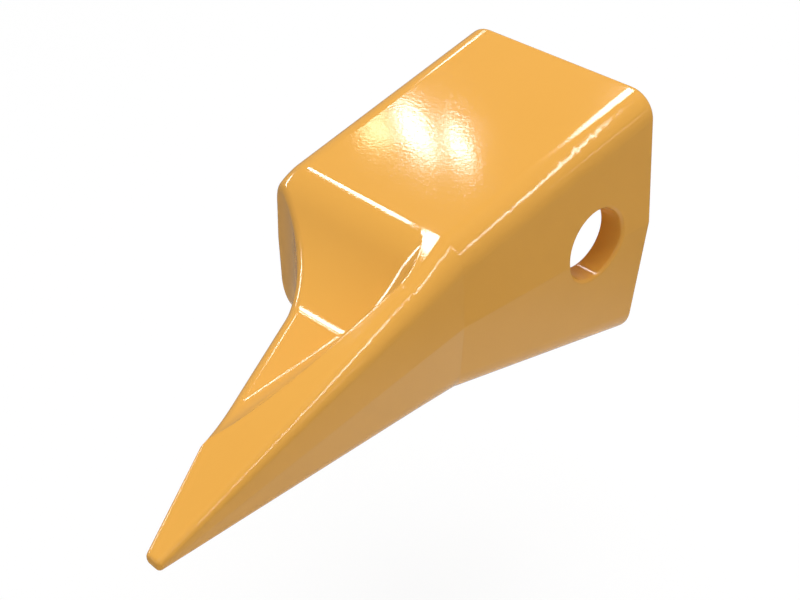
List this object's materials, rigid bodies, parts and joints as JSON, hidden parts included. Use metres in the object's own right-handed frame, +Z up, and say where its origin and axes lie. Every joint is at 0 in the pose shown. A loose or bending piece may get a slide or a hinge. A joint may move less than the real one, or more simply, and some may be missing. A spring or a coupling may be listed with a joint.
{
  "type": "bucket tooth tip",
  "caption": "Cast bucket tooth tip: wedge-sided box with a tapered socket and cross pin bore, running into an offset pointed rib with a scoop and groove beside it, glossy orange-yellow paint",
  "frame": {"origin": "the point on the pin bore's centre line midway across the box, 2.9 mm above the parting plane", "axes": "+X rearward out of the socket, +Y along the pin bore to the left, +Z up, square to the parting plane"},
  "size_m": [0.2749, 0.1256, 0.121],
  "materials": {
    "paint": "glossy orange-yellow enamel over a cast steel skin"
  },
  "bodies": {
    "root": {"tooth_tip": "paint"}
  },
  "joints": []
}
